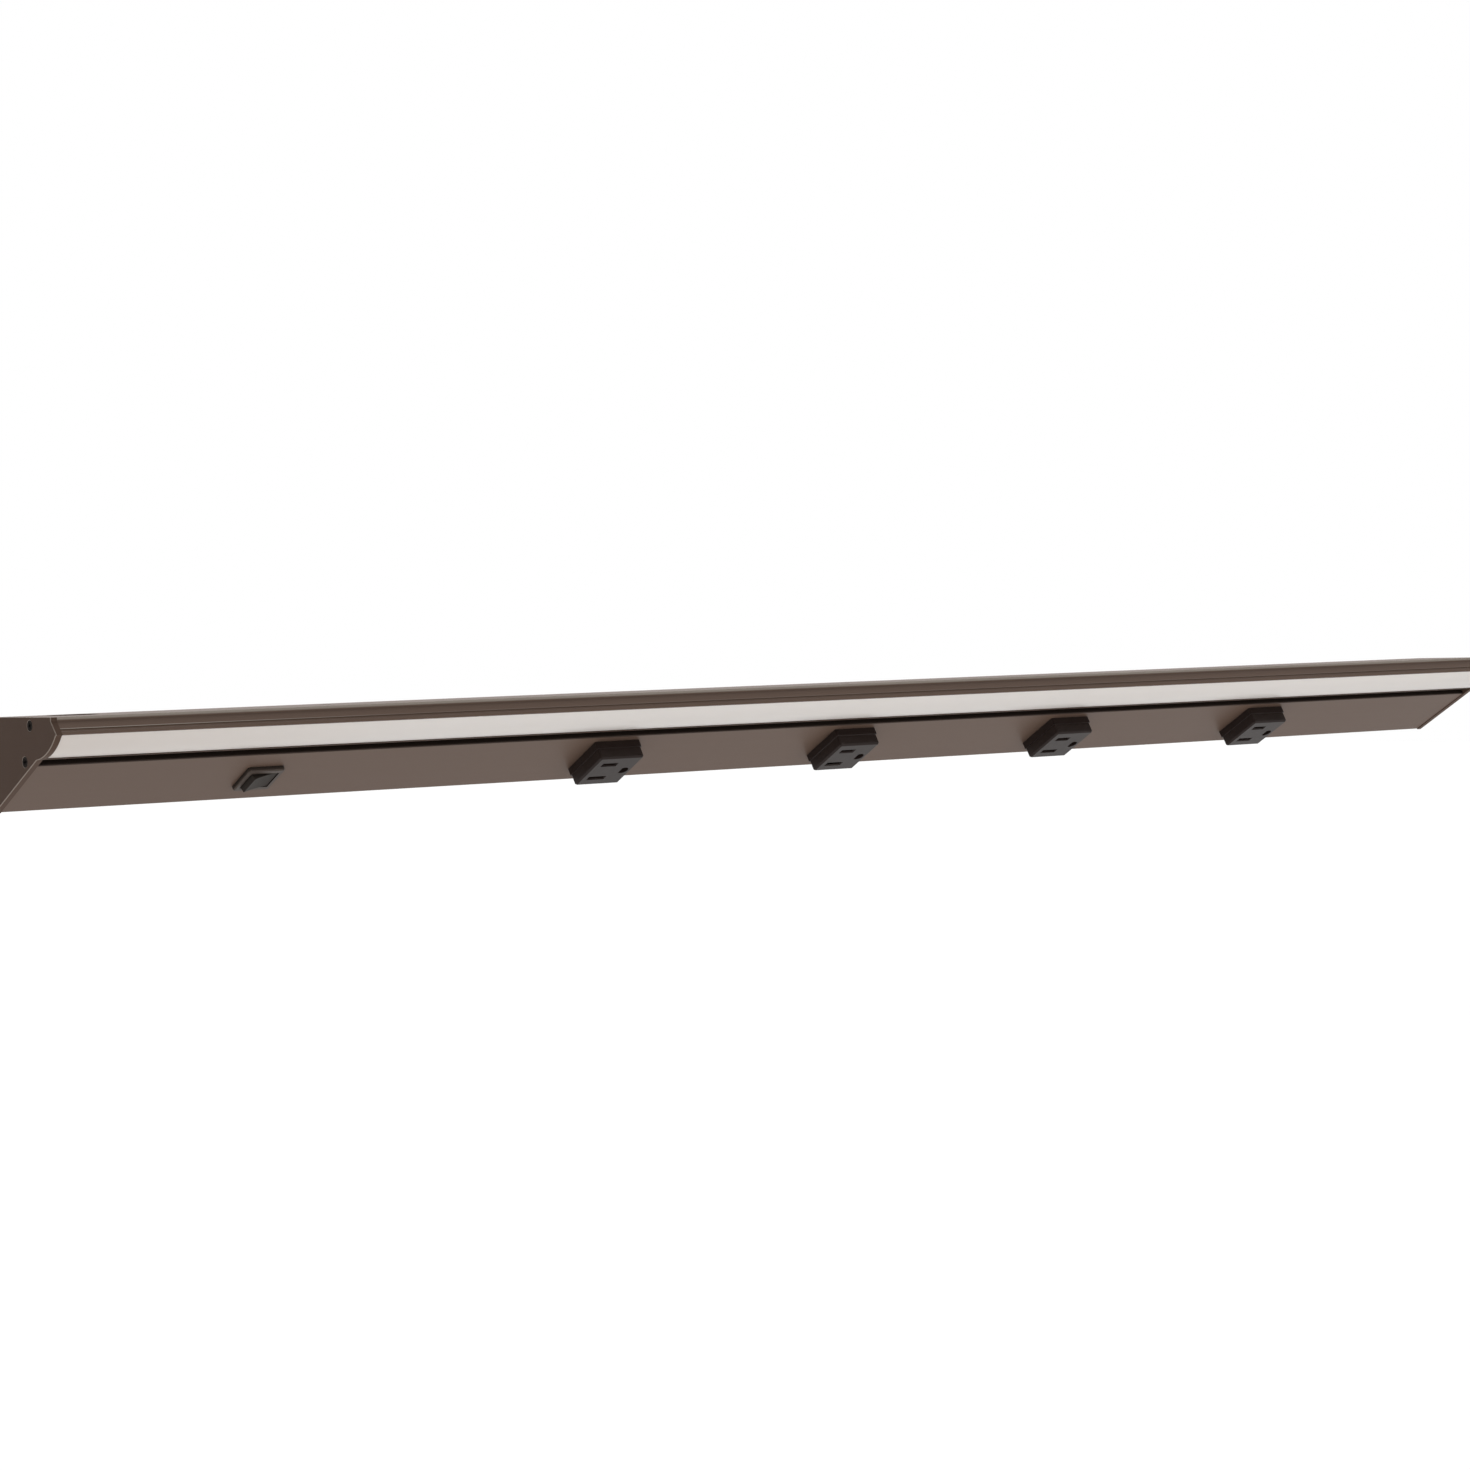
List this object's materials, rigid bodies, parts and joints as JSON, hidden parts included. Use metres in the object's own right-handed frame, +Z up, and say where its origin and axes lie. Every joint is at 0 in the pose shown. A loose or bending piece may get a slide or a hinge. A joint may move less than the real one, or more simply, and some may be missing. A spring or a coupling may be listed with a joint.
{
  "type": "under cabinet power strip",
  "caption": "Slim metal strip that screws under a cabinet, with sockets and a rocker switch on its slanted face and a frosted light lens along its front.",
  "frame": {"origin": "axis of the middle mounting hole, in the top face that meets the cabinet", "axes": "+X along the strip towards the end far from the switch, +Y towards the wall, +Z up into the cabinet"},
  "size_m": [0.9144, 0.059, 0.0435],
  "materials": {
    "bronze_paint": "fine satin powder coat, bronze brown",
    "cap_plastic": "moulded, dark bronze brown",
    "lens_plastic": "extruded, milky and satin",
    "outlet_plastic": "moulded, brown grey, fine texture",
    "rocker_plastic": "moulded, smooth",
    "black_screw": "black oxide",
    "board_white": "white solder mask",
    "chip_yellow": "phosphor under clear resin",
    "white_nylon": "moulded, natural white",
    "lead_red": "extruded insulation",
    "driver_case": "moulded, black",
    "zinc_steel": "zinc plated",
    "wire_black": "extruded insulation",
    "wire_white": "extruded insulation",
    "wire_green": "extruded insulation",
    "switch_nylon": "moulded, black",
    "contact_brass": "stamped and bent strip"
  },
  "bodies": {
    "housing": {"housing": "bronze_paint", "cover": "bronze_paint", "lens": "lens_plastic", "end_cap_left": "cap_plastic", "end_cap_right": "cap_plastic", "end_cap_screws_left": "black_screw", "end_cap_screws_right": "black_screw", "led_boards": "board_white", "led_chips": "chip_yellow", "led_connector": "white_nylon", "led_leads": "lead_red", "led_driver": "driver_case", "terminal_block": "white_nylon", "terminal_screws": "zinc_steel", "switch_leads": "wire_black", "line_wire": "wire_black", "ground_wire": "wire_green", "neutral_wire": "wire_white", "switch_body": "outlet_plastic", "switch_base": "switch_nylon", "switch_line_terminal": "contact_brass", "switch_load_terminal": "contact_brass", "outlet_1_body": "outlet_plastic", "outlet_1_back": "outlet_plastic", "outlet_1_line_contact": "contact_brass", "outlet_1_neutral_contact": "contact_brass", "outlet_1_ground_contact": "contact_brass", "outlet_2_body": "outlet_plastic", "outlet_2_back": "outlet_plastic", "outlet_2_line_contact": "contact_brass", "outlet_2_neutral_contact": "contact_brass", "outlet_2_ground_contact": "contact_brass", "outlet_3_body": "outlet_plastic", "outlet_3_back": "outlet_plastic", "outlet_3_line_contact": "contact_brass", "outlet_3_neutral_contact": "contact_brass", "outlet_3_ground_contact": "contact_brass", "outlet_4_body": "outlet_plastic", "outlet_4_back": "outlet_plastic", "outlet_4_line_contact": "contact_brass", "outlet_4_neutral_contact": "contact_brass", "outlet_4_ground_contact": "contact_brass"},
    "rocker": {"switch_rocker": "rocker_plastic", "switch_plunger": "switch_nylon"},
    "lever": {"switch_lever": "contact_brass"}
  },
  "joints": [
    {"name": "rocker_tilt", "type": "hinge", "parent": "housing", "child": "rocker", "pos_m": [-0.3363, 0.00725, -0.03159], "axis": [0, 0.866, -0.5], "range_deg": [0, 24]},
    {"name": "lever_tilt", "type": "hinge", "parent": "housing", "child": "lever", "pos_m": [-0.3363, 0.01165, -0.02397], "axis": [0, 0.866, -0.5], "range_deg": [-14, 0]}
  ],
  "couplings": [
    {"joint": "lever_tilt", "follows": "rocker_tilt", "ratio": -0.58333}
  ]
}
